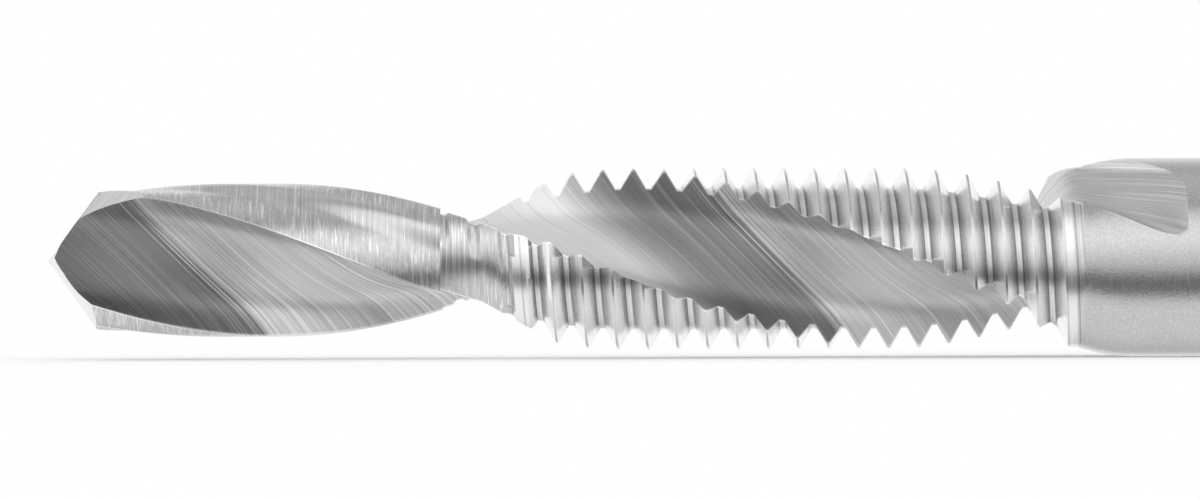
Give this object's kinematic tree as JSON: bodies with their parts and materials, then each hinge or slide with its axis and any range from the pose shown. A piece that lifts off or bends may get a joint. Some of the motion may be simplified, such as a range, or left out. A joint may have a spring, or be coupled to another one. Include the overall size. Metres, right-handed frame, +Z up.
{
  "type": "drill tap bit",
  "caption": "Combined drill and tap on a hex drive shank: it drills the hole and cuts an M6 thread in one pass.",
  "frame": {"origin": "centre of the flat drive end of the hex shank", "axes": "+X along the tool's axis and out of the drive end, so the drill's point is towards -X; +Z up as it lies in the picture, seen from -Y"},
  "size_m": [0.065, 0.007, 0.0066],
  "materials": {
    "ground_steel": "bright ground high speed steel"
  },
  "bodies": {
    "root": {"drill_tap_bit": "ground_steel"}
  },
  "joints": []
}
